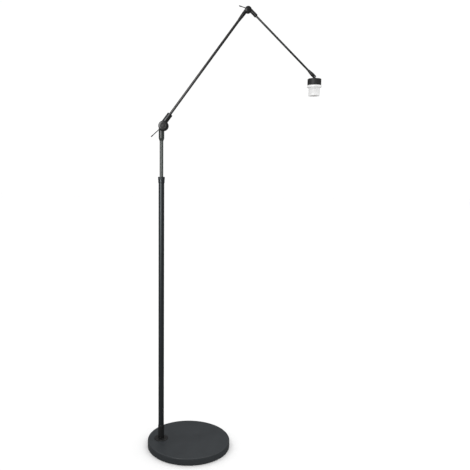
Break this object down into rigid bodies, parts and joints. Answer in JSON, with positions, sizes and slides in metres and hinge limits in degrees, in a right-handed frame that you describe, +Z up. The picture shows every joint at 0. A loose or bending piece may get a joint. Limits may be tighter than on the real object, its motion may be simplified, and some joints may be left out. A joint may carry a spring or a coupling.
{
  "type": "pharmacy floor lamp",
  "caption": "Slim floor lamp with a round weighted base, a telescopic pole, jointed arms with clamp knuckles and levers, and a tilting cup with a screw lampholder.",
  "frame": {"origin": "centre of the round base on the floor", "axes": "+Z up, +X from the pole towards the head; the arms fold in the XZ plane about axes along Y"},
  "size_m": [0.597, 0.3022, 1.5594],
  "materials": {
    "base_coat": "satin powder coat, dark blue grey",
    "tube_coat": "satin black powder coat",
    "mast_coat": "satin greenish dark grey paint",
    "arm_coat": "satin black paint",
    "casting_black": "black coating over cast metal",
    "cup_coat": "satin black paint",
    "lever_steel": "blackened, rubbed bright on its edges",
    "zinc_steel": "zinc plated",
    "black_plastic": "fine matt",
    "white_plastic": "smooth white moulding",
    "natural_plastic": "natural nylon",
    "ceramic": "unglazed white",
    "brass": "drawn, bright",
    "iron": "sand cast, primed",
    "pad_foam": "closed cell foam",
    "cable_sheath": "smooth PVC",
    "wire_insulation": "PVC"
  },
  "bodies": {
    "base": {"floor_pad": "pad_foam", "bottom_plate": "zinc_steel", "bottom_plate_screws": "zinc_steel", "ballast": "iron", "base_cover": "base_coat", "cord_gland": "black_plastic", "terminal_block": "natural_plastic", "terminal_screws": "zinc_steel", "earth_screw": "brass", "foot_flange": "casting_black", "foot_sleeve": "casting_black", "pole_stud": "zinc_steel", "pole_nut": "zinc_steel", "pole_washer": "zinc_steel", "tube_plug": "zinc_steel", "lower_tube": "tube_coat", "pole_cable": "cable_sheath", "collar_body": "casting_black", "collet": "natural_plastic"},
    "collar": {"collar_nut": "casting_black"},
    "slider": {"guide_bush": "black_plastic"},
    "mast": {"upper_tube": "mast_coat", "retaining_rings": "zinc_steel", "mast_wires": "wire_insulation", "mast_knuckle": "casting_black", "mast_set_screw": "lever_steel", "lower_bolt": "zinc_steel", "lower_bolt_cap": "black_plastic", "lower_spring_washer": "zinc_steel"},
    "lower_lever": {"lower_lever_hub": "casting_black", "lower_lever_rod": "lever_steel", "lower_lever_tip": "black_plastic"},
    "lower_arm": {"lower_arm_knuckle": "casting_black", "lower_friction_washer": "black_plastic", "lower_arm_tube": "arm_coat", "lower_arm_set_screws": "lever_steel", "lower_arm_wires": "wire_insulation", "elbow_knuckle": "casting_black", "upper_bolt": "zinc_steel", "upper_bolt_cap": "black_plastic", "upper_spring_washer": "zinc_steel"},
    "upper_lever": {"upper_lever_hub": "casting_black", "upper_lever_rod": "lever_steel", "upper_lever_tip": "black_plastic"},
    "upper_arm": {"upper_arm_knuckle": "casting_black", "upper_friction_washer": "black_plastic", "upper_arm_tube": "mast_coat", "upper_arm_set_screws": "lever_steel", "upper_arm_wires": "wire_insulation", "head_fitting": "casting_black", "head_pivot_screw": "zinc_steel"},
    "head": {"head_hinge": "casting_black", "head_cup": "cup_coat", "hinge_nut": "zinc_steel", "holder_dome": "white_plastic", "holder_skirt": "white_plastic", "shade_ring": "white_plastic", "holder_insert": "ceramic", "screw_shell": "brass", "centre_contact": "brass"}
  },
  "joints": [
    {"name": "height_slide", "type": "slide", "parent": "base", "child": "slider", "axis": [0, 0, 1], "range_m": [-0.115, 0.3]},
    {"name": "mast_turn", "type": "hinge", "parent": "slider", "child": "mast", "pos_m": [-0.1015, 0, 0.608], "axis": [0, 0, 1], "range_deg": [-175, 175]},
    {"name": "lower_knuckle", "type": "hinge", "parent": "mast", "child": "lower_arm", "pos_m": [-0.0946, 0, 1.1586], "axis": [0, 1, 0], "range_deg": [-66, 64]},
    {"name": "upper_knuckle", "type": "hinge", "parent": "lower_arm", "child": "upper_arm", "pos_m": [0.1909, 0, 1.5477], "axis": [0, 1, 0], "range_deg": [-108, 50]},
    {"name": "head_tilt", "type": "hinge", "parent": "upper_arm", "child": "head", "pos_m": [0.42227, 0, 1.32833], "axis": [0, 1, 0], "range_deg": [-130, 42]},
    {"name": "lower_lever_turn", "type": "hinge", "parent": "mast", "child": "lower_lever", "pos_m": [-0.0946, 0, 1.1586], "axis": [0, 1, 0], "range_deg": [-90, 0]},
    {"name": "upper_lever_turn", "type": "hinge", "parent": "lower_arm", "child": "upper_lever", "pos_m": [0.1909, 0, 1.5477], "axis": [0, 1, 0], "range_deg": [-90, 0]},
    {"name": "collar_turn", "type": "hinge", "parent": "base", "child": "collar", "pos_m": [-0.1015, 0, 0.978], "axis": [0, 0, 1], "range_deg": [0, 120]}
  ]
}
